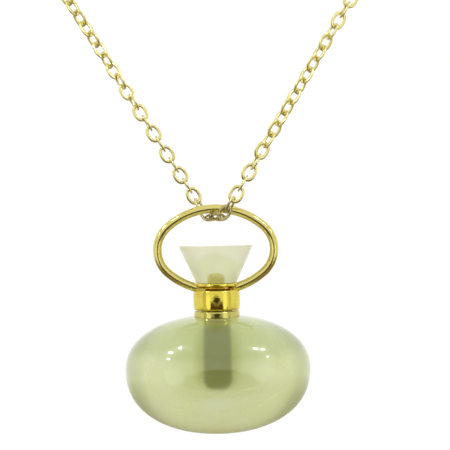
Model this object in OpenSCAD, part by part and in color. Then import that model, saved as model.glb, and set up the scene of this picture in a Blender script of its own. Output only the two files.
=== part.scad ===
// A stone bottle with a gold screw cap, hung by an oval wire bail from a cable chain.
// Lengths are in millimetres. +Z is up and the front is -Y. The origin is the middle of the
// clasp, where the loop of chain lies on the nape of the neck.

/* [Stone bottle] */
// Width of the stone, left to right
stone_w = 37; // [28:0.1:46]
// Depth of the stone, front to back
stone_d = 26; // [20:0.5:34]
// Height of the stone's shoulders above its widest line
shoulder_h = 11; // [9:0.1:13]
// Depth of the stone's belly below its widest line
belly_h = 12.65; // [10:0.1:18]
// Diameter of the bore
bore_d = 4.6; // [4.2:0.1:5.2]
// Depth of the bore below the seat of the neck ring
bore_depth = 12.9; // [8:0.1:17]
// Rounding at the foot of the bore
bore_round = 1.3; // [0.4:0.1:1.6]
// Depth of the seat let into the crown of the stone
seat_sink = 0.82; // [0.6:0.02:1.2]

/* [Neck ring] */
// Diameter of the visible ring
neck_d = 9.1; // [8:0.1:11]
// Height of the ring
neck_h = 1.55; // [1:0.05:2.5]
// Diameter of the screw neck
screw_d = 6; // [5.4:0.1:6.6]
// Length of the screw neck above the ring
screw_h = 2.9; // [1.5:0.1:3]
// Length of the tail glued into the bore
tail_h = 2.6; // [1.5:0.1:5]
// Wall of the tail
tail_wall = 0.5; // [0.3:0.05:0.8]

/* [Cap] */
// Diameter of the cap's band
band_d = 9.4; // [8.4:0.1:11]
// Height of the cap's band
band_h = 4; // [3.9:0.1:6]
// Thickness of the cap's top above the socket
band_top = 1.05; // [0.9:0.05:1.2]
// Diameter of the plate that the stopper stands on
plate_d = 8.4; // [7:0.1:10]
// Thickness of that plate
plate_h = 0.65; // [0.4:0.05:1]
// Width of the solder between the plate and the band
solder_w = 5.2; // [3:0.1:6]
// How far the solder sits to the right of the axis
solder_shift = 1; // [0:0.1:1.2]
// Diameter of the post glued into the stopper
post_d = 2.2; // [2:0.1:3.2]
// Height of the post above the plate
post_h = 2.1; // [1.2:0.05:3]
// Height of the post's domed end
dome_h = 0.9; // [0.4:0.05:1]

/* [Stopper] */
// Diameter of the stopper's flat top
stopper_top_d = 15.2; // [11:0.1:17]
// Diameter of the stopper's foot
stopper_foot_d = 8.1; // [7:0.1:9.5]
// Height of the stopper
stopper_h = 7.5; // [5:0.1:7.6]

/* [Bail] */
// Overall width of the bail
bail_w = 25.1; // [22:0.1:30]
// Overall height of the bail
bail_h = 18.1; // [17:0.1:20]
// Diameter of the bail's wire
bail_wire = 1.75; // [1.4:0.05:2]
// Depth that the bail's wire sinks into the cap
bail_sink = 1; // [0.5:0.05:1.05]

/* [Chain] */
// Length of a link's hole
hole_l = 2.7; // [2.5:0.02:3.4]
// Width of a link's hole
hole_w = 1.6; // [1.5:0.05:2.1]
// Width of the flattened wire, seen face on
link_band = 0.68; // [0.5:0.02:0.7]
// Thickness of the flattened wire
link_t = 0.4; // [0.3:0.02:0.46]
// Play of a link along its neighbour
link_play = 0.2; // [0.18:0.01:0.26]
// Number of links on each side of the bail
side_links = 88; // [60:1:118]
// Angle of each arm of the chain from the vertical
vee_angle = 31.5; // [26:0.5:38]
// Most that the links are twisted about the chain
twist = 45; // [0:1:60]

/* [Clasp] */
// Diameter of the clasp's ring, at the middle of its wire
clasp_d = 4.8; // [4:0.1:7]
// Diameter of the clasp's wire
clasp_wire = 1.2; // [0.9:0.05:1.4]
// Diameter of the clasp's eye, at the middle of its wire
eye_d = 2; // [1.8:0.1:2.6]
// Diameter of the jump ring, at the middle of its wire
jump_d = 3.2; // [3:0.1:4]
// Diameter of the wire of the eye and of the jump ring
fine_wire = 0.7; // [0.5:0.05:0.8]

/* [Fits] */
// Running clearance of the screw, on the radius
screw_play = 0.06; // [0.03:0.01:0.1]
// Gap between pieces that are glued or rest on each other
seat_gap = 0.05; // [0.03:0.01:0.1]
// Height of the dark groove between the cap and the neck ring
groove_h = 0.15; // [0.1:0.05:0.4]
// Rounding of the edges of the gold rings
edge_r = 0.35; // [0.1:0.05:0.5]

/* [Hidden] */
$fn = 64;
link_fn = 36;
edge_steps = 5;

// The links that turn under the bail's wire, from the joint below the wire's middle outwards.
// Columns: rise above the level, heading from the right, roll about the link, slack at its far end
TURN = [
    [11, -57, 62, 0.22],
    [31, -44, -4, 0.32],
    [60, -16, 84, 0.25],
];
// Depth of the middle joint below the centre of the bail's wire
turn_drop = 1.9;
// Waves of twist along the right and the left half of the chain, and the straight links before them
TWIST_WAVES = [[5, 2], [3, 7]];

gold = [0.84, 0.74, 0.30];
green_stone = [0.72, 0.78, 0.52];
pale_stone = [0.84, 0.86, 0.70];

// How far soldered wires lap into each other
solder_lap = 0.3;

// How far a cut runs past the face that it opens
cut_past = 1;

// Bail: an oval of four arcs, at the wire's centreline. The ray through the middles of two
// neighbouring arcs has the slope of this triangle, in thousandths of a millimetre, and its
// steps are whole, so both arcs end on the same exact points.
ARC_STEP = [0.048, 0.055, 0.073];
wire_r = bail_wire / 2;
bail_a = round(1000 * (bail_w / 2 - wire_r)) / 1000;
arc_steps = round((bail_a - bail_h / 2 + wire_r) / (ARC_STEP[0] + ARC_STEP[1] - ARC_STEP[2]));
end_x = ARC_STEP[0] * arc_steps;
top_arc_z = -ARC_STEP[1] * arc_steps;
bail_end_r = bail_a - end_x;
bail_top_r = bail_end_r + ARC_STEP[2] * arc_steps;
bail_b = bail_top_r + top_arc_z;
// The rays that part the arcs run well past them
ray_reach = 4;

// Heights below the centre of the wire at the top of the bail
cap_top = -2 * bail_b - wire_r + bail_sink;
cap_foot = cap_top - band_h;
plate_foot = -2 * bail_b + wire_r - solder_lap / 4;
plate_top = plate_foot + plate_h;
stopper_foot = plate_top + seat_gap;
ring_top = cap_foot - groove_h;
ring_foot = ring_top - neck_h;
stone_seat = ring_foot - seat_gap;
stone_apex = stone_seat + seat_sink;
stone_mid = stone_apex - shoulder_h;

// Chain: the pitch of its links, and the run of one side
pitch = hole_l - link_play;
turn_end = turn_joint(len(TURN));
run_links = side_links - len(TURN);
clasp_gap = link_play / 2;
eye_r = eye_d / 2;
clasp_r = clasp_d / 2;
jump_r = jump_d / 2;
fine_r = fine_wire / 2;
// Places along the clasp, measured from the joint with the left-hand chain
eye_x = eye_r - fine_r - clasp_gap;
clasp_x = eye_x + eye_r + fine_r - solder_lap + clasp_wire / 2 + clasp_r;
jump_x = clasp_x + clasp_r - clasp_wire / 2 - link_play - fine_r + jump_r;
clasp_span = jump_x + jump_r - fine_r - clasp_gap;

// Neck circle: its radius follows from the length of the chain
arc_turn = 90 + vee_angle;
loop_r = (run_links * pitch + clasp_span / 2 + turn_end[0] / sin(vee_angle))
    / (1 / tan(vee_angle) + arc_turn * PI / 180);
arm_run = loop_r / tan(vee_angle) - turn_end[0] / sin(vee_angle);
loop_mid = turn_end[2] + (loop_r - turn_end[0] * cos(vee_angle)) / sin(vee_angle);
hang_z = -loop_mid - loop_r * cos(clasp_span / 2 / loop_r * 180 / PI);

// Unit vector of a link with a given rise and heading
function along(rise, heading) = [cos(rise) * cos(heading), cos(rise) * sin(heading), sin(rise)];

// Joint number n of the turn, from the centre of the bail's wire
function turn_joint(n) = n == 0 ? [0, 0, -turn_drop]
    : turn_joint(n - 1) + (pitch - TURN[n - 1][3]) * along(TURN[n - 1][0], TURN[n - 1][1]);

// A point of the right-hand run, at a distance s from the last joint of the turn
function run_point(s) = s < arm_run
    ? [turn_end[0] + s * sin(vee_angle), turn_end[1] * (1 - s / arm_run), turn_end[2] + s * cos(vee_angle)]
    : [loop_r * sin(run_rise(s)), 0, loop_mid - loop_r * cos(run_rise(s))];

// The rise of the run there, and its heading on the straight arm
function run_rise(s) = 90 - vee_angle + (s < arm_run ? 0 : (s - arm_run) / loop_r * 180 / PI);
function run_heading(s) = s < arm_run ? atan2(-turn_end[1] / arm_run, sin(vee_angle)) : 0;

// Points of a corner rounded to radius r about a centre, from angle a0 to a1
function corner(x, y, r, a0, a1) =
    [for (i = [0 : edge_steps]) let (a = a0 + (a1 - a0) * i / edge_steps) [x + r * cos(a), y + r * sin(a)]];

// A disc with both rims rounded, standing on z
module rounded_disc(r, h, z) {
    translate([0, 0, z]) rotate_extrude()
        polygon(concat([[0, 0]], corner(r - edge_r, edge_r, edge_r, -90, 0),
            corner(r - edge_r, h - edge_r, edge_r, 0, 90), [[0, h]]));
}

// An upright cylinder from z0 to z1
module rod(r, z0, z1) {
    translate([0, 0, z0]) cylinder(r = r, h = z1 - z0);
}

// A ring of round wire, lying flat
module wire_ring(r, wire) {
    rotate_extrude() translate([r, 0]) circle(r = wire, $fn = 24);
}

// The part of a wire ring about [x, z] that lies between two rays at that centre, facing the front.
module wire_arc(r, x, z, ray_a, ray_b) {
    rotate([90, 0, 0]) intersection() {
        translate([x, z, 0]) rotate_extrude() translate([r, 0]) circle(r = wire_r, $fn = 32);
        linear_extrude(4 * wire_r, center = true)
            polygon([[x, z], [x, z] + ray_reach * ray_a, [x, z] + ray_reach * ray_b]);
    }
}

// A slot-shaped outline
module slot(l, w) {
    square([l - w, w], center = true);
    for (side = [-1, 1]) translate([side * (l - w) / 2, 0]) circle(d = w, $fn = link_fn);
}

// One flattened link, lengthwise along X and facing the front
module link() {
    rotate([90, 0, 0]) linear_extrude(link_t, center = true) difference() {
        slot(hole_l + 2 * link_band, hole_w + 2 * link_band);
        slot(hole_l, hole_w);
    }
}

// A link placed at a point with its rise, heading and roll
module place_link(at, rise, heading, roll) {
    translate(at) rotate([roll, -rise, heading]) link();
}

// Half of the chain, from the middle joint under the bail up to the clasp
module half_chain(waves, straight) {
    for (n = [0 : len(TURN) - 1])
        place_link((turn_joint(n) + turn_joint(n + 1)) / 2, TURN[n][0], TURN[n][1], TURN[n][2]);
    for (n = [0 : run_links - 1]) {
        s = (n + 0.5) * pitch;
        share = max(0, n + 0.5 - straight) / (run_links - straight);
        wave = twist * abs(sin(180 * waves * share));
        place_link((run_point(n * pitch) + run_point((n + 1) * pitch)) / 2, run_rise(s),
            run_heading(s), wave + 90 * ((n + len(TURN) + 1) % 2));
    }
}

module chain() {
    color(gold) translate([0, 0, hang_z]) for (side = [0, 1])
        rotate([0, 0, 180 * side]) half_chain(TWIST_WAVES[side][0], TWIST_WAVES[side][1]);
}

// Turns a ring of the clasp across the last link of the chain
module across_last_link() {
    rotate([90 * (1 - side_links % 2), 0, 0]) children();
}

module clasp() {
    color(gold) across_last_link() {
        translate([eye_x - clasp_span / 2, 0, 0]) rotate([90, 0, 0]) wire_ring(eye_r, fine_r);
        translate([clasp_x - clasp_span / 2, 0, 0]) wire_ring(clasp_r, clasp_wire / 2);
    }
}

module clasp_ring() {
    color(gold) across_last_link()
        translate([jump_x - clasp_span / 2, 0, 0]) rotate([90, 0, 0]) wire_ring(jump_r, fine_r);
}

module bail() {
    translate([0, 0, -bail_b]) for (side = [-1, 1]) {
        wire_arc(bail_top_r, 0, side * top_arc_z, [end_x, -side * top_arc_z], [-end_x, -side * top_arc_z]);
        wire_arc(bail_end_r, side * end_x, 0, [side * end_x, -top_arc_z], [side * end_x, top_arc_z]);
    }
}

// The post's profile, with its domed end
module post() {
    dome_r = (post_d * post_d / 4 + dome_h * dome_h) / (2 * dome_h);
    crown = plate_top + post_h;
    rod(post_d / 2, plate_foot, crown - dome_h);
    intersection() {
        rod(post_d / 2, crown - dome_r, crown);
        translate([0, 0, crown - dome_r]) sphere(r = dome_r);
    }
}

module cap() {
    color(gold) translate([0, 0, hang_z]) {
        difference() {
            rounded_disc(band_d / 2, band_h, cap_foot);
            rod(screw_d / 2 + screw_play, cap_foot - cut_past, cap_top - band_top);
        }
        rod(plate_d / 2, plate_foot, plate_top);
        translate([solder_shift, 0, 0]) rod(solder_w / 2, cap_top - band_top / 2, plate_top - plate_h / 2);
        post();
        bail();
    }
}

module stopper() {
    color(pale_stone) translate([0, 0, hang_z + stopper_foot]) difference() {
        cylinder(d1 = stopper_foot_d, d2 = stopper_top_d, h = stopper_h);
        rod(post_d / 2 + seat_gap, -cut_past, post_h);
    }
}

module neck_ring() {
    bore_r = bore_d / 2;
    color(gold) translate([0, 0, hang_z]) difference() {
        union() {
            rounded_disc(neck_d / 2, neck_h, ring_foot);
            rod(screw_d / 2, ring_top - neck_h / 2, ring_top + screw_h);
            rod(bore_r - seat_gap, ring_foot - tail_h, ring_foot + neck_h / 2);
        }
        rod(bore_r - seat_gap - tail_wall, ring_foot - tail_h - cut_past, ring_top + screw_h + cut_past);
    }
}

// One half of the stone's oval, above or below its widest line
module half_oval(h, side) {
    intersection() {
        scale([stone_w / 2, stone_d / 2, h]) sphere(r = 1);
        translate([-stone_w, -stone_d, side < 0 ? -2 * h : 0]) cube([2 * stone_w, 2 * stone_d, 2 * h]);
    }
}

// The bore with the seat for the neck ring at its mouth, as one cut
module bore_and_seat() {
    seat_r = neck_d / 2 + seat_gap;
    rotate_extrude() polygon(concat([[0, -bore_depth]],
        corner(bore_d / 2 - bore_round, bore_round - bore_depth, bore_round, -90, 0),
        [[bore_d / 2, 0], [seat_r, 0], [seat_r, seat_sink + cut_past], [0, seat_sink + cut_past]]));
}

module bottle() {
    color(green_stone) translate([0, 0, hang_z]) difference() {
        translate([0, 0, stone_mid]) {
            half_oval(shoulder_h, 1);
            half_oval(belly_h, -1);
        }
        translate([0, 0, stone_seat]) bore_and_seat();
    }
}

chain();
clasp();
clasp_ring();
cap();
stopper();
neck_ring();
bottle();
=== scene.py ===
"""Dresses a stone bottle pendant: a gold screw cap and stopper, an oval wire bail and a cable chain."""
import math

import bmesh
import bpy
import numpy as np
from bpy.props import FloatProperty, FloatVectorProperty, PointerProperty
from bpy.types import Operator, Panel, PropertyGroup
from mathutils import Matrix, Vector, noise


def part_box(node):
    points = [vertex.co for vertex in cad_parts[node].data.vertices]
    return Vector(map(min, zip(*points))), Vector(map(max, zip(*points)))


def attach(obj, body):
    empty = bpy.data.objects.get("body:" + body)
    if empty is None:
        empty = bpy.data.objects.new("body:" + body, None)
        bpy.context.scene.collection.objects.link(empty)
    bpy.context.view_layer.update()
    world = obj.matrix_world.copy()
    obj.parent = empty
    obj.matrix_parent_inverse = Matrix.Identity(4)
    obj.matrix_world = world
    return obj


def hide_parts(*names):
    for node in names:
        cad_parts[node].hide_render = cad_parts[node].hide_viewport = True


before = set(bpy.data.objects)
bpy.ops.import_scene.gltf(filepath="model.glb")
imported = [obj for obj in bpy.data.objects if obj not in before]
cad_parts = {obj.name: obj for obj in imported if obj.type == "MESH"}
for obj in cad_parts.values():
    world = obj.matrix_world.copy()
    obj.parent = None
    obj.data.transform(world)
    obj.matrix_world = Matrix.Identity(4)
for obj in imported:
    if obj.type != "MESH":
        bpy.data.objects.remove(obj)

bl_info = {
    "name": "Bottle Pendant",
    "version": (1, 0, 0),
    "blender": (4, 5, 0),
    "location": "3D View > Sidebar > Pendant",
    "description": "Builds a stone bottle pendant with a gold cap, a wire bail and a cable chain",
    "category": "Add Mesh",
}

MM = 0.001
# A radius below the first lies on the axis, and corners closer than the second are one
TINY, WELD = 1e-7, 1e-6
CAP_LOW, CAP_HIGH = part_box("cap")
RING_LOW, RING_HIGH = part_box("neck_ring")
STOPPER_LOW, STOPPER_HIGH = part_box("stopper")
STONE_LOW, STONE_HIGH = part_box("bottle")
CLASP_LOW, CLASP_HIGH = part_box("clasp")
JUMP_LOW, JUMP_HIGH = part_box("clasp_ring")


def length(name, value, description):
    """A length in millimetres, as a property in metres."""
    return FloatProperty(name=name, description=description, default=value * MM, min=0.0, precision=5,
                         subtype="DISTANCE", unit="LENGTH")


def colour(name, value, description):
    return FloatVectorProperty(name=name, description=description, default=value, min=0.0, max=1.0,
                               size=3, subtype="COLOR")


def share(name, value, description, most=1.0):
    return FloatProperty(name=name, description=description, default=value, min=0.0, max=most,
                         subtype="FACTOR")


# Sizes and colours that a user would change

class ChainLook(PropertyGroup):
    hole_length: length("Hole length", 2.5, "Length of a link's hole")
    hole_width: length("Hole width", 1.62, "Width of a link's hole")
    band: length("Band", 0.66, "Width of the flattened wire, seen face on")
    thickness: length("Thickness", 0.4, "Thickness of the flattened wire")
    corner: length("Corner", 0.13, "Rounding of the flattened wire's edges")
    tint: colour("Gold", (0.78, 0.70, 0.32), "Colour of the plated links")
    shade: colour("Deep gold", (0.50, 0.37, 0.12), "Colour of the gold where it has dulled")
    # Painted shade: the links that hang round the bail get this darker colour, standing in for their shade
    painted_shade: colour("Shaded gold", (0.40, 0.34, 0.15), "Colour of painted shade on the links at the bail")
    roughness: share("Roughness", 0.16, "Roughness of the polished wire")


class ClaspLook(PropertyGroup):
    ring_wire: length("Ring wire", 1.2, "Diameter of the clasp's wire")
    fine_wire: length("Fine wire", 0.7, "Diameter of the wire of the eye and the jump ring")
    eye: length("Eye", 2.0, "Diameter of the clasp's eye, at the middle of its wire")


class CapLook(PropertyGroup):
    band_height: length("Band height", 4.0, "Height of the cap's band")
    band_diameter: length("Band diameter", 9.4, "Diameter of the cap's band")
    barrel: length("Barrel", 0.11, "How far the band swells between its rims")
    socket: length("Socket", 6.12, "Diameter of the screw socket")
    top: length("Top", 1.05, "Thickness of the cap's top above the socket")
    plate_diameter: length("Plate diameter", 8.4, "Diameter of the plate under the stopper")
    plate_height: length("Plate height", 0.65, "Thickness of that plate")
    post_diameter: length("Post diameter", 2.2, "Diameter of the post in the stopper")
    post_height: length("Post height", 2.1, "Height of the post above the plate")
    dome: length("Dome", 0.9, "Height of the post's domed end")
    gap: length("Seat gap", 0.05, "Gap between the plate and the stopper")
    bail_wire: length("Bail wire", 1.75, "Diameter of the bail's wire")
    bail_end: length("Bail end radius", 6.059, "Radius of the bail's left and right ends")
    tint: colour("Gold", (0.72, 0.60, 0.09), "Colour of the gold plate")
    wire_tint: colour("Wire gold", (0.70, 0.61, 0.20), "Colour of the bail's paler gold")
    # Partly painted shade: the solder is real, and its brown stands in for the shade between the plate and
    # the band's top
    solder_shade_tint: colour("Solder", (0.60, 0.38, 0.06), "Colour of the solder under the plate, darkened as painted shade")
    shade: colour("Deep gold", (0.52, 0.36, 0.07), "Colour of the gold where it has dulled")
    roughness: share("Roughness", 0.07, "Roughness of the polished gold")


class NeckLook(PropertyGroup):
    height: length("Ring height", 1.55, "Height of the neck ring between the cap and the stone")
    tail: length("Tail", 2.6, "Length of the tail glued into the bore")
    wall: length("Tail wall", 0.5, "Wall of the tail")
    screw: length("Screw", 6.0, "Diameter of the screw neck")
    glue: length("Glue", 0.05, "Gap that the glue fills")
    tint: colour("Gold", (0.56, 0.50, 0.14), "Colour of the neck ring's duller gold")


class StoneLook(PropertyGroup):
    bore: length("Bore", 4.6, "Diameter of the bore")
    bore_depth: length("Bore depth", 12.9, "Depth of the bore below the seat")
    bore_round: length("Bore rounding", 1.3, "Rounding at the foot of the bore")
    seat: length("Seat", 9.2, "Diameter of the seat let into the crown")
    seat_sink: length("Seat depth", 0.82, "Depth of the seat below the crown")
    fullness: FloatProperty(name="Fullness", description="Fullness of the outline, where 2 is a plain oval",
                            default=2.2, min=2.0, max=2.6)
    shoulder: length("Shoulder", 11.0, "Height of the shoulders above the widest line")
    stopper_foot: length("Stopper foot", 8.1, "Diameter of the stopper's foot")
    stopper_bore: length("Stopper bore", 2.3, "Diameter of the hole for the post")
    pale: colour("Pale stone", (0.82, 0.85, 0.44), "Colour of the stone's sides and belly")
    shoulder_tint: colour("Shoulders", (0.55, 0.63, 0.30), "Colour of the stone's shoulders and foot")
    heart: colour("Heart", (0.56, 0.62, 0.20), "Colour of the stone's middle")
    # Painted shade: a dark olive that stands in for the bore's shadow in the stone
    core: colour("Bore shade", (0.36, 0.40, 0.06), "Colour of the painted shade on the stone around its bore")
    wisp: colour("Wisps", (0.84, 0.86, 0.66), "Colour of the stone's pale wisps")
    wispy: share("Wispy", 0.55, "Strength of those wisps")
    # Partly painted shade: the bore's wall is ground, and its dark colour stands in for the little light
    # that passes the bore
    ground: colour("Ground bore", (0.14, 0.15, 0.01), "Colour of the rough wall of the bore, darkened as painted shade")
    stopper_pale: colour("Pale stopper", (0.98, 0.98, 0.74), "Colour of the stopper's sides")
    stopper_deep: colour("Deep stopper", (0.86, 0.88, 0.58), "Colour of the stopper's middle")
    stopper_clear: share("Clear stopper", 0.45, "Share of the light that passes into the stopper")
    glue: colour("Glued post", (0.62, 0.54, 0.10), "Colour of the post, seen through its glue")
    inside: colour("Inside", (0.895, 0.91, 0.86), "Colour that light takes on inside the stone")
    density: FloatProperty(name="Density", description="How fast light takes on that colour, in each metre",
                           default=90.0, min=0.0)
    clear: share("Clear share", 0.70, "Share of the light that passes into the stone")
    blur: share("Blur", 0.16, "How much the cloudy stone blurs what lies in it")


class StageLook(PropertyGroup):
    distance: length("Camera distance", 231.5, "Distance of the camera from the bail")
    aside: length("Camera aside", 1.95, "How far the camera stands to the right of the axis")
    below: length("Camera below", 3.33, "How far the camera stands below the top of the bail")
    view_angle: FloatProperty(name="View angle", description="Angle that the picture takes in",
                              default=math.radians(22), subtype="ANGLE", unit="ROTATION")
    roll: FloatProperty(name="Roll", description="How far the camera leans to its right",
                        default=math.radians(1.1), subtype="ANGLE", unit="ROTATION")
    floor_drop: length("Floor drop", 210.0, "How far the floor lies below the stone")
    pale: colour("Pale paper", (0.80, 0.80, 0.79), "Colour of the floor and the wall around it")
    glow: share("Glow", 0.27, "Light that the paper lets through")
    glare: colour("Glare", (0.95, 0.95, 0.94), "Brightness that the cards fade into")
    sky: share("Sky", 1.0, "Strength of the soft light from above", 4.0)


# Shader nodes

class Value:
    """A node's output that takes part in Python arithmetic: an expression adds its Math nodes."""

    def __init__(self, finish, socket):
        self.finish, self.socket = finish, socket

    def maths(self, operation, *values):
        return self.finish.add("ShaderNodeMath", {"operation": operation}, dict(enumerate(values)))

    def __add__(self, other):
        return self.maths("ADD", self, other)

    __radd__ = __add__

    def __sub__(self, other):
        return self.maths("SUBTRACT", self, other)

    def __rsub__(self, other):
        return self.maths("SUBTRACT", other, self)

    def __mul__(self, other):
        return self.maths("MULTIPLY", self, other)

    __rmul__ = __mul__

    def __pow__(self, other):
        return self.maths("POWER", self, other)

    def step(self, low, high):
        """0 below low and 1 above high, or the other way round, with a soft edge."""
        return self.finish.add("ShaderNodeMapRange", {"interpolation_type": "SMOOTHSTEP"},
                               {"Value": self, "From Min": low, "From Max": high})


class Finish:
    """A material while it is being built."""

    def __init__(self, name):
        self.material = bpy.data.materials.new(name)
        self.material.use_nodes = True
        self.tree = self.material.node_tree
        self.tree.nodes.clear()
        self.place = self.add("ShaderNodeTexCoord", out="Object")

    def add(self, kind, settings=(), sockets=(), out=0):
        """Adds a node: its settings first, then the values or links of its sockets."""
        node = self.tree.nodes.new(kind)
        for key, value in dict(settings).items():
            setattr(node, key, value)
        for key, value in dict(sockets).items():
            if isinstance(value, Value):
                self.tree.links.new(value.socket, node.inputs[key])
            elif value is not None:
                entry = node.inputs[key]
                short = entry.type == "RGBA" and len(value) == 3
                entry.default_value = (*value, 1.0) if short else value
        return Value(self, node.outputs[out]) if len(node.outputs) else None

    def mix(self, share, first, second):
        """A colour between two others."""
        return self.add("ShaderNodeMix", {"data_type": "RGBA"}, {0: share, 6: first, 7: second}, out=2)

    def stretched(self, x, y, z):
        return self.add("ShaderNodeVectorMath", {"operation": "MULTIPLY"}, {0: self.place, 1: (x, y, z)})

    def cloud(self, scale, detail=3.0, distortion=0.0, where=None):
        return self.add("ShaderNodeTexNoise", {}, {"Vector": where or self.place, "Scale": scale,
                                                   "Detail": detail, "Distortion": distortion})

    def along(self, axis):
        """The place along an axis of the piece: 0 is X, 1 is Y and 2 is Z."""
        return self.add("ShaderNodeSeparateXYZ", {}, {0: self.place}, out=axis)

    def oval(self, height, half, tall, power=2):
        """Below 1 inside an upright oval on the axis, seen from the front, and above 1 outside it."""
        return (self.along(0) * (1 / half)) ** 2 + ((self.along(2) - height) * (1 / tall)) ** power

    def bump(self, height, depth, strength=1.0):
        return self.add("ShaderNodeBump", {}, {"Height": height, "Distance": depth, "Strength": strength})

    def surface(self, sockets, inside=None):
        """Ends the material with its shader, and with what fills the body behind it."""
        shader = self.add("ShaderNodeBsdfPrincipled", {}, sockets)
        self.add("ShaderNodeOutputMaterial", {}, {"Surface": shader, "Volume": inside})
        return self.material


def gold_finish(name, tint, shade, rough, painted_shade=None):
    """Gold plate with fine scratches, dull patches and small dents, about as rough as rough says. The last
    argument is the height, half width, half height and colour of an oval where the gold is painted darker,
    as painted shade."""
    f = Finish(name)
    patches = f.cloud(420.0, 4.0, 0.4)
    grain = f.cloud(5200.0, 2.0)
    scratches = f.cloud(900.0, 3.0, 0.3, f.stretched(1.0, 1.0, 9.0))
    worn = patches.step(0.52, 0.78)
    tint = f.mix(worn * 0.55, tuple(tint), tuple(shade))
    if painted_shade:
        # Painted shade: inside the oval the gold is mixed towards a darker colour, standing in for shade
        tint = f.mix(f.oval(*painted_shade[:3]).step(1.3, 0.6) * 0.85, tint, tuple(painted_shade[3]))
    roughness = patches * 0.07 + grain * 0.04 + (rough - 0.05)
    relief = patches * 0.6 + scratches * 0.3 + grain * 0.12
    return f.surface({"Base Color": tint, "Metallic": 1.0, "Roughness": roughness,
                      "Normal": f.bump(relief, 0.00004, 0.5)})


def stone_finish(name, look, tint, clear, density, base, zones):
    """Polished translucent stone with soft clouds and pale wisps. A zone is an oval of another tint: its
    height above the base, half width and half height in millimetres, its strength, how soft its edge is
    and the property that holds its tint."""
    f = Finish(name)
    drift = f.cloud(70.0, 5.0, 1.2)
    wisps = f.cloud(150.0, 6.0, 0.8, f.stretched(1.0, 1.0, 0.35))
    body = f.mix(drift.step(0.35, 0.68), tint, tuple(c ** 0.8 for c in tint))
    body = f.mix(wisps.step(0.3, 0.9) * look.wispy, body, tuple(look.wisp))
    for height, half, tall, strength, soft, hue in zones:
        far = f.oval(base + height * MM, half * MM, tall * MM, 4) + (drift - 0.5) * soft
        body = f.mix(far.step(1 + soft, 1 - soft) * strength, body, tuple(getattr(look, hue)))
    inside = f.add("ShaderNodeVolumeAbsorption", {}, {"Color": tuple(look.inside), "Density": density})
    return f.surface({"Base Color": body, "Roughness": wisps * 0.08 + look.blur,
                      "Transmission Weight": clear, "IOR": 1.56, "Specular IOR Level": 0.1,
                      "Coat Weight": 1.0, "Coat Roughness": 0.03,
                      "Normal": f.bump(drift, 0.00002, 0.5)}, inside)


def ground_finish(name, look):
    """The rough wall that the drill left in the stone, with its fine rings. Its dark colour is painted
    shade, standing in for the little light that passes the bore.
    """
    f = Finish(name)
    patches = f.cloud(260.0, 4.0, 0.5)
    rings = f.cloud(900.0, 3.0, 0.0, f.stretched(0.2, 0.2, 4.0))
    body = f.mix(patches, tuple(look.ground), tuple(0.6 * c for c in look.ground))
    return f.surface({"Base Color": body, "Roughness": 0.85, "Normal": f.bump(rings, 0.00006, 0.6)})


# Shapes

def piece(name, verts, faces, material, body, slot, *replaced):
    """Makes a closed smooth piece that rides on a body."""
    mesh = bpy.data.meshes.new(name)
    mesh.from_pydata([tuple(v) for v in verts], [], [tuple(int(i) for i in f) for f in faces])
    whole = bmesh.new()
    whole.from_mesh(mesh)
    bmesh.ops.recalc_face_normals(whole, faces=whole.faces)
    whole.to_mesh(mesh)
    whole.free()
    mesh.polygons.foreach_set("use_smooth", [True] * len(mesh.polygons))
    mesh.materials.append(material)
    made = bpy.data.objects.new(name, mesh)
    bpy.context.scene.collection.objects.link(made)
    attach(made, body)
    if replaced:
        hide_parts(*replaced)
    return made


def line_hole(made, lining, inside):
    """Gives the faces of a drilled hole a finish of their own: those whose middle is inside."""
    made.data.materials.append(lining)
    for face in made.data.polygons:
        face.material_index = int(inside(face.center))


def rounded(points, steps=5):
    """An outline of (x, z, radius) corners, each rounded, with a support point beside each arc."""
    line = []
    for i, (x, z, r) in enumerate(points):
        here = Vector((x, z))
        if r <= 0 or i in (0, len(points) - 1):
            line.append(here)
            continue
        back = (Vector(points[i - 1][:2]) - here).normalized()
        on = (Vector(points[i + 1][:2]) - here).normalized()
        half = back.angle(on) / 2
        reach, support = r / math.tan(half), 0.3 * r
        middle = here + (back + on).normalized() * (r / math.sin(half))
        first, last = here + back * reach - middle, here + on * reach - middle
        line.append(here + back * (reach + support))
        for k in range(steps + 1):
            line.append(middle + first.lerp(last, k / steps).normalized() * r)
        line.append(here + on * (reach + support))
    return line


def dome_line(radius, rise, crown, steps):
    """The outline of a dome, from its crown on the axis down to its rim."""
    ball = (radius ** 2 + rise ** 2) / (2 * rise)
    across = (radius * k / steps for k in range(steps + 1))
    return [(x, crown - ball + math.sqrt(ball ** 2 - x ** 2)) for x in across]


def signed_power(value, power):
    return math.copysign(abs(value) ** power, value)


def around(steps):
    """The angles of even steps round a circle."""
    return [2 * math.pi * k / steps for k in range(steps)]


def turned(line, steps):
    """The vertices of an outline of (radius, z) turned about the axis, and their rings. A point on the
    axis is one vertex, which fills its ring."""
    verts, rings = [], []
    for radius, z in (p[:2] for p in line):
        start = len(verts)
        if radius < TINY:
            verts.append((0.0, 0.0, z))
            rings.append([start] * steps)
            continue
        verts += [(radius * math.cos(a), radius * math.sin(a), z) for a in around(steps)]
        rings.append(list(range(start, start + steps)))
    return verts, rings


def revolve(line, steps, closed=False):
    """Turns an outline that starts and ends on the axis, or a closed one around it, into a solid."""
    verts, rings = turned(line, steps)
    return verts, joined_rings(rings, steps, closed)


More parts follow.
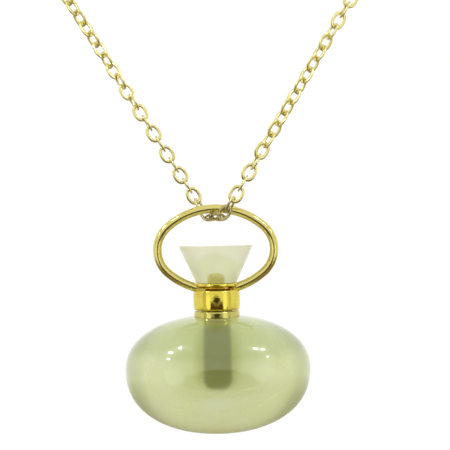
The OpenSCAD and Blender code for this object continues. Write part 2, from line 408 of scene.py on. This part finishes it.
def joined_rings(rings, steps, closed=False):
    """The faces between neighbouring rings of vertices, with triangles at a pole."""
    faces = []
    pairs = list(zip(rings, rings[1:])) + ([(rings[-1], rings[0])] if closed else [])
    for low, high in pairs:
        for k in range(steps):
            n = (k + 1) % steps
            corners = [low[k], low[n], high[n], high[k]]
            face = [c for j, c in enumerate(corners) if c != corners[j - 1]]
            if len(face) > 2:
                faces.append(face)
    return faces


def flat_sweep(path, section):
    """Sweeps a section along a closed path in the XZ plane. A path point is (x, z, heading of its
    outward normal); a section point is (outwards, along Y)."""
    verts, rings = [], []
    for x, z, a in path:
        start = len(verts)
        verts += [(x + out * math.cos(a), across, z + out * math.sin(a)) for out, across in section]
        rings.append(list(range(start, start + len(section))))
    return verts, joined_rings(rings, len(section), closed=True)


def circle(radius, steps):
    return [(radius * math.cos(a), radius * math.sin(a)) for a in around(steps)]


def ring_path(radius, steps):
    return [(radius * math.cos(a), radius * math.sin(a), a) for a in around(steps)]


def moved(verts, at, turn=Matrix.Identity(3)):
    return [turn @ Vector(v) + Vector(at) for v in verts]


def merged(*parts):
    """Several (verts, faces) pairs as one."""
    verts, faces = [], []
    for v, f in parts:
        faces += [[i + len(verts) for i in face] for face in f]
        verts += list(v)
    return verts, faces


# Chain

def loose_parts(mesh):
    """The triangles of each loose part of a mesh, as arrays of corner positions."""
    count = len(mesh.vertices)
    places = np.empty(count * 3)
    mesh.vertices.foreach_get("co", places)
    places = places.reshape(-1, 3)
    mesh.calc_loop_triangles()
    triangles = np.empty(len(mesh.loop_triangles) * 3, int)
    mesh.loop_triangles.foreach_get("vertices", triangles)
    _, same = np.unique(np.round(places / WELD).astype(int), axis=0, return_inverse=True)
    corners = same.ravel()[triangles].reshape(-1, 3)
    label = np.arange(same.max() + 1)
    while True:
        least = label[corners].min(axis=1)
        new = label.copy()
        for k in range(3):
            np.minimum.at(new, corners[:, k], least)
        new = new[new]
        if (new == label).all():
            break
        label = new
    part = label[corners[:, 0]]
    return [places[triangles.reshape(-1, 3)[part == p]] for p in np.unique(part)]


def link_frame(corners):
    """Where a link lies: its middle, and a matrix whose columns run along, through and across it."""
    a, b, c = corners[:, 0], corners[:, 1], corners[:, 2]
    area = np.linalg.norm(np.cross(b - a, c - a), axis=1) / 2
    middle = (area[:, None] * (a + b + c) / 3).sum(0) / area.sum()
    a, b, c = a - middle, b - middle, c - middle
    spread = sum(np.einsum("n,ni,nj->ij", area / 12, v, v) for v in (a, b, c, a + b + c))
    axes = np.linalg.eigh(spread)[1]
    along, through = axes[:, 2], axes[:, 0]
    across = np.cross(along, through)
    return middle, np.column_stack([along, through, across])


def link_shape(look, steps=40, fullness=0.88, bevel=0.35):
    """One oval link of flattened wire, along X and facing the front. Its oval is fuller than a plain
    one, and the bevel sets how far the middle of a rounded edge lies in, as a share of its rounding."""
    half_l = (look.hole_length + look.band) / 2
    half_w = (look.hole_width + look.band) / 2
    line = [(half_l * signed_power(math.cos(a), fullness), half_w * signed_power(math.sin(a), fullness))
            for a in around(steps)]
    path = []
    for k, (x, z) in enumerate(line):
        dx, dz = (line[(k + 1) % steps][i] - line[k - 1][i] for i in range(2))
        path.append((x, z, math.atan2(-dx, dz)))
    half, deep, cut = look.band / 2, look.thickness / 2, look.corner
    edge = [(0, cut), (bevel * cut, bevel * cut), (cut, 0)]
    section = []
    for out, up in ((1, 1), (-1, 1), (-1, -1), (1, -1)):
        section += [(out * (half - a), up * (deep - b)) for a, b in (edge if out == up else edge[::-1])]
    return flat_sweep(path, section)


def hanging_point(scene):
    """The height of the wire's middle at the top of the bail."""
    return CAP_HIGH.z - scene.pendant_cap.bail_wire / 2


# The oval of links by the bail where the gold is painted darker as painted shade: its drop below that
# point, half width and half height
SHADE_DROP, SHADE_HALF, SHADE_TALL = 1 * MM, 5 * MM, 3 * MM


class PENDANT_OT_chain(Operator):
    """Lays an oval flattened link on each link of the chain"""
    bl_idname = "pendant.chain"
    bl_label = "Chain"

    def execute(self, context):
        look = context.scene.pendant_chain
        shape, link_faces = link_shape(look)
        shape = np.array(shape)
        verts, faces = [], []
        for corners in loose_parts(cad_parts["chain"].data):
            middle, turn = link_frame(corners)
            start = len(verts)
            verts += (shape @ turn.T + middle).tolist()
            faces += [[i + start for i in face] for face in link_faces]
        # The links round the bail get painted shade
        painted_shade = (hanging_point(context.scene) - SHADE_DROP, SHADE_HALF, SHADE_TALL, look.painted_shade)
        gold = gold_finish("chain_gold", look.tint, look.shade, look.roughness, painted_shade)
        piece("chain_links", verts, faces, gold, "necklace", "gold_chain", "chain")
        return {"FINISHED"}


class PENDANT_OT_clasp(Operator):
    """Bends the clasp's ring with its eye, and the jump ring at the other end"""
    bl_idname = "pendant.clasp"
    bl_label = "Clasp"

    def execute(self, context):
        look, gold = context.scene.pendant_clasp, bpy.data.materials["chain_gold"]
        flat = Matrix.Rotation(math.radians(90), 3, "X")
        ring_wire, fine_wire = look.ring_wire / 2, look.fine_wire / 2
        ring_r = (CLASP_HIGH.z - CLASP_LOW.z) / 2 - ring_wire
        ring = flat_sweep(ring_path(ring_r, 64), circle(ring_wire, 20))
        eye = flat_sweep(ring_path(look.eye / 2, 40), circle(fine_wire, 14))
        ring = moved(ring[0], (CLASP_HIGH.x - ring_r - ring_wire, 0, 0)), ring[1]
        eye = moved(eye[0], (CLASP_LOW.x + look.eye / 2 + fine_wire, 0, 0), flat), eye[1]
        piece("clasp_ring_and_eye", *merged(ring, eye), gold, "necklace", "gold_chain", "clasp")
        jump_r = (JUMP_HIGH.x - JUMP_LOW.x) / 2 - fine_wire
        jump = flat_sweep(ring_path(jump_r, 48), circle(fine_wire, 14))
        jump = moved(jump[0], ((JUMP_LOW.x + JUMP_HIGH.x) / 2, 0, 0), flat), jump[1]
        piece("jump_ring", *jump, gold, "necklace", "gold_chain", "clasp_ring")
        return {"FINISHED"}


# Cap, bail and stopper

# The rays that part the bail's arcs: the run, rise and slant of a triangle on them
RAY_RUN, RAY_RISE, RAY_SLANT = 48, 55, 73


def bail_path(look, steps=160):
    """The oval of four arcs that the bail's wire follows."""
    wire, end_r = look.bail_wire / 2, look.bail_end
    end_x = (CAP_HIGH.x - CAP_LOW.x) / 2 - wire - end_r
    top_r = end_r + end_x * RAY_SLANT / RAY_RUN
    top_z = -end_x * RAY_RISE / RAY_RUN
    middle = CAP_HIGH.z - wire - (top_r + top_z)
    ray, half_turn = math.atan2(RAY_RISE, RAY_RUN), math.pi
    arcs = ((end_r, end_x, 0.0, 0.0, ray),
            (top_r, 0.0, top_z, ray, half_turn - ray),
            (end_r, -end_x, 0.0, half_turn - ray, half_turn + ray),
            (top_r, 0.0, -top_z, half_turn + ray, 2 * half_turn - ray),
            (end_r, end_x, 0.0, -ray, 0.0))
    whole = sum(radius * (last - first) for radius, x, z, first, last in arcs)
    path = []
    for radius, x, z, first, last in arcs:
        count = max(2, round(steps * radius * (last - first) / whole))
        for angle in (first + (last - first) * k / count for k in range(count)):
            path.append((x + radius * math.cos(angle), middle + z + radius * math.sin(angle), angle))
    return path


def lump(middle, sizes, seed, rough=0.12, grain=1.7, rings=18, steps=28):
    """A smooth uneven lump of solder."""
    line = [(math.sin(math.pi * k / rings), -math.cos(math.pi * k / rings)) for k in range(rings + 1)]
    verts, faces = revolve(line, steps)
    out = []
    for way in map(Vector, verts):
        swell = 1 + rough * noise.noise(way * grain + Vector((seed, 0, 0)))
        out.append(Vector(middle) + Vector([way[i] * sizes[i] * swell for i in range(3)]))
    return out, faces


def cap_band(look):
    """The cap's band: its outline runs out over the socket, round the foot and up the swelling side."""
    foot, rim, socket = CAP_LOW.z, look.band_diameter / 2, look.socket / 2
    top = foot + look.band_height
    ceiling, waist = top - look.top, rim - look.barrel
    deep_edge, mouth_edge, edge = 0.05 * MM, 0.1 * MM, 0.32 * MM
    shares = (0.12, *(k / 10 for k in range(2, 9)), 0.88)
    swell = [(rim - look.barrel * (2 * t - 1) ** 2, foot + look.band_height * t, 0) for t in shares]
    band = rounded([(0, ceiling, 0), (socket, ceiling, deep_edge), (socket, foot, mouth_edge),
                    (waist, foot, edge), *swell, (waist, top, edge), (0, top, 0)])
    return revolve(band, 128)


def plate_heights(look):
    """The foot and the top of the plate under the stopper."""
    top = STOPPER_LOW.z - look.gap
    return top - look.plate_height, top


def plate_and_post(look):
    """The plate, and the domed post that stands on it and is sunk a little into it."""
    foot, top = plate_heights(look)
    rim, edge, post = look.plate_diameter / 2, 0.2 * MM, look.post_diameter / 2
    plate = rounded([(0, foot, 0), (rim, foot, edge), (rim, top, edge), (0, top, 0)])
    root, support, crown = foot + 0.1 * MM, 0.02 * MM, top + look.post_height
    stem = [(0, root), (post, root), (post, top), (post, crown - look.dome - support)]
    stem += dome_line(post, look.dome, crown, 8)[::-1]
    return merged(revolve(plate, 96), revolve(stem, 48))


# Lumps of solder, in mm: place from the axis and above the base, half sizes, and seed
SEAM = (0.25, -0.25, 0.1), (2.95, 1.75, 0.95), 3.0
TONGUE = (3.2, -1.2, 0.35), (0.55, 0.9, 1.5), 8.0


def solder(look):
    """The solder between the band and the plate, and the tongue of it beside the stopper's foot."""
    foot, top = plate_heights(look)
    seam = (foot + CAP_LOW.z + look.band_height) / 2
    return merged(*(lump(Vector(place) * MM + Vector((0, 0, base)), Vector(sizes) * MM, seed)
                    for base, (place, sizes, seed) in ((seam, SEAM), (top, TONGUE))))


class PENDANT_OT_cap(Operator):
    """Turns the cap's band, the plate and the post, and bends and solders the bail"""
    bl_idname = "pendant.cap"
    bl_label = "Cap and bail"

    def execute(self, context):
        look = context.scene.pendant_cap
        gold = gold_finish("cap_gold", look.tint, look.shade, look.roughness)
        wire_gold = gold_finish("bail_gold", look.wire_tint, look.shade, look.roughness)
        # The solder's gold, painted brown as shade between the plate and the band
        shaded_solder = gold_finish("shaded_solder_gold", look.solder_shade_tint, look.shade, 0.25)
        wire = flat_sweep(bail_path(look), circle(look.bail_wire / 2, 32))
        piece("cap_band", *cap_band(look), gold, "pendant", "gold_mount", "cap")
        piece("plate_and_post", *plate_and_post(look), gold, "pendant", "gold_mount")
        piece("solder", *solder(look), shaded_solder, "pendant", "gold_mount")
        piece("bail", *wire, wire_gold, "pendant", "gold_mount")
        return {"FINISHED"}


# Zones of the stopper, from its foot up, and of the bottle, from its widest line up
STOPPER_ZONES = ((1.2, 4.0, 4.9, 0.9, 0.5, "stopper_deep"),
                 (0.6, 1.65, 1.55, 0.8, 0.4, "glue"))
BOTTLE_ZONES = ((12, 26, 9, 0.85, 0.5, "shoulder_tint"),
                (4, 8.5, 8, 0.5, 0.9, "heart"),
                # The third zone is painted shade: it darkens the stone round the bore where the bore's
                # shadow falls
                (3.5, 3.9, 5.9, 0.75, 0.8, "core"),
                (-5, 3.2, 1.3, 0.4, 0.9, "wisp"))


class PENDANT_OT_stopper(Operator):
    """Grinds the stone stopper, with the hole for its post"""
    bl_idname = "pendant.stopper"
    bl_label = "Stopper"

    def execute(self, context):
        look, cap = context.scene.pendant_stone, context.scene.pendant_cap
        foot, top = STOPPER_LOW.z, STOPPER_HIGH.z
        wide = (STOPPER_HIGH.x - STOPPER_LOW.x) / 2
        hole, crown = look.stopper_bore / 2, foot + cap.post_height
        support, hole_edge, foot_edge, top_edge = (v * MM for v in (0.05, 0.05, 0.15, 0.08))
        line = dome_line(hole, cap.dome, crown, 10)
        line += rounded([(hole, crown - cap.dome - support, 0), (hole, foot, hole_edge),
                         (look.stopper_foot / 2, foot, foot_edge), (wide, top, top_edge), (0, top, 0)])
        stone = stone_finish("stopper_stone", look, tuple(look.stopper_pale), look.stopper_clear,
                             look.density * 0.4, foot, STOPPER_ZONES)
        made = piece("stopper_cone", *revolve(line, 128), stone, "pendant", "pale_stone", "stopper")
        glued = gold_finish("glued_post", look.glue, cap.shade, 0.4)
        ceiling = crown + 0.1 * MM
        line_hole(made, glued, lambda c: math.hypot(c.x, c.y) < hole and c.z < ceiling)
        return {"FINISHED"}


# Bottle

class PENDANT_OT_neck_ring(Operator):
    """Turns the neck ring with its screw neck and its tail"""
    bl_idname = "pendant.neck_ring"
    bl_label = "Neck ring"

    def execute(self, context):
        look, cap = context.scene.pendant_neck, context.scene.pendant_cap
        gold = gold_finish("neck_gold", look.tint, cap.shade, cap.roughness)
        low, high = RING_LOW.z, RING_HIGH.z
        foot = low + look.tail
        top = foot + look.height
        rim, screw = (RING_HIGH.x - RING_LOW.x) / 2, look.screw / 2
        tail = context.scene.pendant_stone.bore / 2 - look.glue
        inner = tail - look.wall
        tail_edge, tail_root, edge, screw_root, screw_edge = (v * MM for v in (0.08, 0.02, 0.3, 0.05, 0.1))
        straight = 1 * MM
        line = rounded([(inner, low + straight, 0), (inner, low, tail_edge), (tail, low, tail_edge),
                        (tail, foot, tail_root), (rim, foot, edge), (rim, top, edge),
                        (screw, top, screw_root), (screw, high, screw_edge), (inner, high, screw_edge),
                        (inner, high - straight, 0)])
        ring = revolve(line, 128, closed=True)
        piece("neck_ring_turned", *ring, gold, "vial", "gold_mount", "neck_ring")
        return {"FINISHED"}


def bore_line(look, seat_z):
    """The outline of the bore and the seat, from the foot of the bore to the seat's corner."""
    foot, bore, seat = seat_z - look.bore_depth, look.bore / 2, look.seat / 2
    mouth_edge, seat_edge, wall = 0.12 * MM, 0.1 * MM, 1 * MM
    return rounded([(0, foot, 0), (bore, foot, look.bore_round), (bore, seat_z, mouth_edge),
                    (seat, seat_z, seat_edge), (seat, seat_z + wall, 0)], 8)[:-1]


def outside_rings(look, middle, steps, rows=110):
    """The rings of the stone's outside, from the lip of its seat down to the last above its foot. The
    outline is fuller than a plain oval."""
    half_w, half_d = (STONE_HIGH.x - STONE_LOW.x) / 2, (STONE_HIGH.y - STONE_LOW.y) / 2
    belly, seat, lip, power = middle - STONE_LOW.z, look.seat / 2, 0.12 * MM, 2 / look.fullness
    rings = [[] for _ in range(rows)]
    for a in around(steps):
        reach = 1 / math.hypot(math.cos(a) / half_w, math.sin(a) / half_d)
        first = math.asin(((seat + lip) / reach) ** (1 / power))
        for row, ring in enumerate(rings):
            t = first + (math.pi - first) * max(row - 1, 0) / (rows - 1)
            c = math.cos(t)
            z = middle + signed_power(c, power) * (look.shoulder if c > 0 else belly)
            r = reach * math.sin(t) ** power
            if row == 0:
                r, z = seat, z - lip
            ring.append((r * math.cos(a), r * math.sin(a), z))
    return rings


class PENDANT_OT_bottle(Operator):
    """Grinds the stone bottle, a flattened oval with a bore and a seat for the neck ring"""
    bl_idname = "pendant.bottle"
    bl_label = "Stone bottle"

    def execute(self, context):
        look, neck = context.scene.pendant_stone, context.scene.pendant_neck
        seat_z = RING_LOW.z + neck.tail - neck.glue
        middle = seat_z + look.seat_sink - look.shoulder
        steps = 160
        verts, rings = turned(bore_line(look, seat_z), steps)
        for ring in outside_rings(look, middle, steps):
            rings.append(list(range(len(verts), len(verts) + steps)))
            verts += ring
        rings.append([len(verts)] * steps)
        verts.append((0.0, 0.0, STONE_LOW.z))
        stone = stone_finish("bottle_stone", look, tuple(look.pale), look.clear, look.density, middle,
                             BOTTLE_ZONES)
        made = piece("stone_bottle", verts, joined_rings(rings, steps), stone, "vial", "green_stone",
                     "bottle")
        floor, wall = seat_z - look.bore_depth - 0.1 * MM, look.bore / 2 + 0.05 * MM
        # The bore's wall: ground stone, painted dark as shade
        line_hole(made, ground_finish("shaded_ground_bore", look),
                  lambda c: math.hypot(c.x, c.y) < wall and c.z > floor)
        return {"FINISHED"}


# Stage

def placed(name, data, at, turn=None):
    """Puts an object into the scene, turned by a rotation."""
    made = bpy.data.objects.new(name, data)
    bpy.context.scene.collection.objects.link(made)
    made.location = at
    if turn:
        made.rotation_euler = turn.to_euler()
    return made


def lamp(name, at, target, size, watts):
    """A soft square lamp aimed at a point."""
    data = bpy.data.lights.new(name, "AREA")
    data.size, data.energy = size, watts
    placed(name, data, at, (target - at).to_track_quat("-Z", "Y"))


def card(name, at, target, width, height, tint, glare, soft=0.45, corners=48):
    """An oval card that fades into the glare at its edge, and that only polished things reflect."""
    f = Finish(name)
    rim = ((f.along(0) * (2 / width)) ** 2 + (f.along(1) * (2 / height)) ** 2).step(soft, 1.0)
    f.surface({"Base Color": (0, 0, 0), "Specular IOR Level": 0.0, "Roughness": 1.0,
               "Emission Color": f.mix(rim, tint, glare), "Emission Strength": 1.0})
    mesh = bpy.data.meshes.new(name)
    oval = [(width / 2 * math.cos(a), height / 2 * math.sin(a), 0) for a in around(corners)]
    mesh.from_pydata(oval, [], [tuple(range(corners))])
    mesh.materials.append(f.material)
    made = placed(name, mesh, at, (target - at).to_track_quat("Z", "Y"))
    made.visible_camera = made.visible_transmission = made.visible_shadow = made.visible_diffuse = False


def paper_room(look, steps=96, bends=10, rounds=12):
    """The round floor that bends up into a wall, of pale paper that lets some light through."""
    f = Finish("pale_paper")
    paper = f.mix(f.cloud(30.0, 4.0), tuple(look.pale), tuple(0.98 * c for c in look.pale))
    f.surface({"Base Color": paper, "Roughness": 0.9, "Emission Color": paper,
               "Emission Strength": look.glow})
    floor = STONE_LOW.z - look.floor_drop
    wide, bend, high = 1.5, 0.5, 1.1
    line = [((wide - bend) * k / rounds, floor) for k in range(rounds)]
    line += [(wide - bend + bend * math.sin(a), floor + bend - bend * math.cos(a))
             for a in (math.pi / 2 * k / bends for k in range(bends + 1))]
    verts, faces = revolve(line + [(wide, floor + high)], steps)
    mesh = bpy.data.meshes.new("floor_and_wall")
    mesh.from_pydata(verts, [], faces)
    mesh.polygons.foreach_set("use_smooth", [True] * len(mesh.polygons))
    mesh.materials.append(f.material)
    placed("floor_and_wall", mesh, (0, 0, 0))


def soft_sky(scene, strength):
    world = bpy.data.worlds.new("soft_sky")
    world.use_nodes = True
    sky = world.node_tree.nodes["Background"].inputs
    sky["Color"].default_value = (1, 1, 1, 1)
    sky["Strength"].default_value = strength
    scene.world = world


def camera(scene, look, target):
    """The camera in front of the part, level, and rolled a little to its right."""
    data = bpy.data.cameras.new("camera")
    data.sensor_width = 36.0
    data.lens = data.sensor_width / 2 / math.tan(look.view_angle / 2)
    data.clip_start, data.clip_end = 0.01, 10.0
    made = placed("camera", data, (0, 0, 0))
    c, s = math.cos(look.roll), math.sin(look.roll)
    turn = Matrix(((c, s, 0), (0, 0, -1), (-s, c, 0)))
    made.matrix_world = Matrix.Translation(target + Vector((0, -look.distance, 0))) @ turn.to_4x4()
    scene.camera = made
    scene.view_settings.view_transform = "Standard"


# Small bright bulbs: the way to each from the stone's belly, its size and its power
BULBS = ((-0.648, -0.425, 0.633, 0.036, 0.26),
         (-0.500, -0.385, 0.785, 0.034, 0.20),
         (-0.722, -0.545, 0.430, 0.026, 0.09),
         (0.506, -0.455, 0.734, 0.034, 0.20),
         (0.611, -0.399, 0.683, 0.034, 0.22),
         (0.725, -0.530, 0.450, 0.026, 0.10))
BULB_REACH, BELLY_RISE = 0.6, 12 * MM

# Cards that shape the gold's reflections: azimuth from the front and elevation in degrees, width and
# height in metres, and brightness
CARDS = (("lens_shade", (0, -5.5), (0.22, 0.062), (0.04, 0.04, 0.02)),
         ("table_shade", (0, -19), (0.72, 0.15), (0.11, 0.06, 0.03)),
         ("left_glow", (-42, -8), (0.13, 0.15), (1.4, 1.4, 1.35)),
         ("right_glow", (42, -6), (0.13, 0.15), (1.4, 1.4, 1.35)),
         ("left_shade", (-62, 3), (0.10, 0.30), (0.74, 0.72, 0.58)),
         ("right_shade", (66, 3), (0.10, 0.30), (0.80, 0.78, 0.66)))
CARD_REACH = 0.3

# The wide dark card below and in front, which faces up: its place, the point it faces, its size, its
# brightness and how far from its middle it starts to fade
UNDER_PLACE, UNDER_AIM, UNDER_SIZE = (0, -0.25, -0.20), (0, -0.249, 0), 2.2
UNDER_TINT, UNDER_SOFT = (0.30, 0.25, 0.14), 0.02


class PENDANT_OT_stage(Operator):
    """Sets the pale floor and wall, the soft lamps, the cards and the camera"""
    bl_idname = "pendant.stage"
    bl_label = "Stage"

    def execute(self, context):
        look, scene = context.scene.pendant_stage, context.scene
        target = Vector((look.aside, 0, hanging_point(scene) - look.below))
        paper_room(look)
        soft_sky(scene, look.sky)
        belly = Vector((0, 0, STONE_LOW.z + BELLY_RISE))
        for k, (x, y, z, size, watts) in enumerate(BULBS):
            lamp(f"bulb_{k}", belly + Vector((x, y, z)) * BULB_REACH, belly, size, watts)
        glare = tuple(look.glare)
        for name, (azimuth, elevation), (wide, tall), tint in CARDS:
            a, e = math.radians(azimuth), math.radians(elevation)
            way = Vector((math.sin(a) * math.cos(e), -math.cos(a) * math.cos(e), math.sin(e)))
            card(name, target + way * CARD_REACH, target, wide, tall, tint, glare)
        card("under_shade", target + Vector(UNDER_PLACE), target + Vector(UNDER_AIM), UNDER_SIZE,
             UNDER_SIZE, UNDER_TINT, glare, UNDER_SOFT)
        camera(scene, look, target)
        return {"FINISHED"}


class PENDANT_PT_pieces(Panel):
    """Lists the pendant's pieces with their sizes and colours"""
    bl_idname = "PENDANT_PT_pieces"
    bl_label = "Bottle pendant"
    bl_space_type = "VIEW_3D"
    bl_region_type = "UI"
    bl_category = "Pendant"

    def draw(self, context):
        for name, (group, *steps) in LISTED.items():
            box = self.layout.box()
            for step in steps:
                box.operator(step.bl_idname)
            held = getattr(context.scene, name)
            for key in group.__annotations__:
                box.prop(held, key)


LISTED = {
    "pendant_chain": (ChainLook, PENDANT_OT_chain),
    "pendant_clasp": (ClaspLook, PENDANT_OT_clasp),
    "pendant_cap": (CapLook, PENDANT_OT_cap),
    "pendant_neck": (NeckLook, PENDANT_OT_neck_ring),
    "pendant_stone": (StoneLook, PENDANT_OT_stopper, PENDANT_OT_bottle),
    "pendant_stage": (StageLook, PENDANT_OT_stage),
}


def register():
    for name, (group, *steps) in LISTED.items():
        for made in (group, *steps):
            bpy.utils.register_class(made)
        setattr(bpy.types.Scene, name, PointerProperty(type=group))
    bpy.utils.register_class(PENDANT_PT_pieces)


def unregister():
    bpy.utils.unregister_class(PENDANT_PT_pieces)
    for name, (group, *steps) in reversed(LISTED.items()):
        delattr(bpy.types.Scene, name)
        for made in (*reversed(steps), group):
            bpy.utils.unregister_class(made)


def main():
    register()
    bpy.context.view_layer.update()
    bpy.ops.pendant.chain()
    bpy.ops.pendant.clasp()
    bpy.ops.pendant.cap()
    bpy.ops.pendant.stopper()
    bpy.ops.pendant.neck_ring()
    bpy.ops.pendant.bottle()
    bpy.ops.pendant.stage()


if __name__ == "__main__":
    main()
